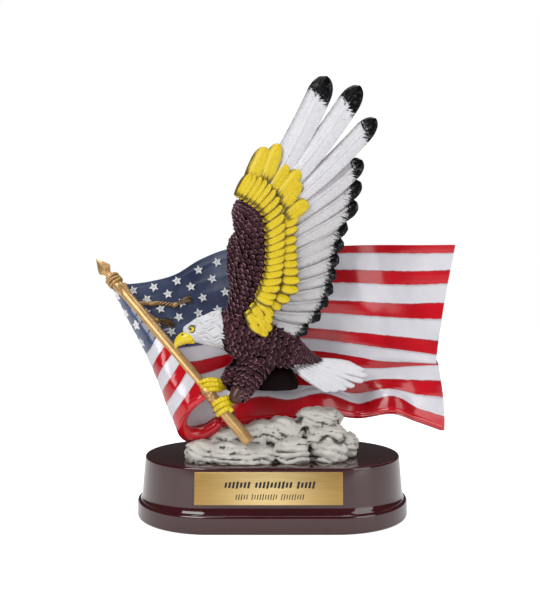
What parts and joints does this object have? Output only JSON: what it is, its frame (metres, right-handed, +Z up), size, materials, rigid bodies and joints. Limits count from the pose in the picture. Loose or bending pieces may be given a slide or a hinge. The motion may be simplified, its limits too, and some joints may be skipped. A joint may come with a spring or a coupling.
{
  "type": "eagle trophy",
  "caption": "Painted resin eagle with raised wings gripping a flag on a pole over rocks, set on a glossy oval-ended plinth with a brushed brass name plate.",
  "frame": {"origin": "centre of the plinth's flat underside", "axes": "+Z up, from the underside to the wing tips; -Y is the front with the name plate; +X to the right, towards the flag's fly"},
  "size_m": [0.2097, 0.088, 0.2432],
  "materials": {
    "maroon_lacquer": "deep maroon high-gloss lacquer",
    "brushed_brass": "brushed, satin, lighter in the middle",
    "painted_resin": "hand-painted cast resin, stone grey on the rock, brown, white and yellow on the bird",
    "gloss_paint": "glossy red, white and slate blue enamel on the cast flag",
    "gold_paint": "antique gold paint on the cast pole, cord and tassels"
  },
  "bodies": {
    "root": {"plinth": "maroon_lacquer", "name_plate": "brushed_brass", "eagle_and_flag": "painted_resin"}
  },
  "joints": []
}
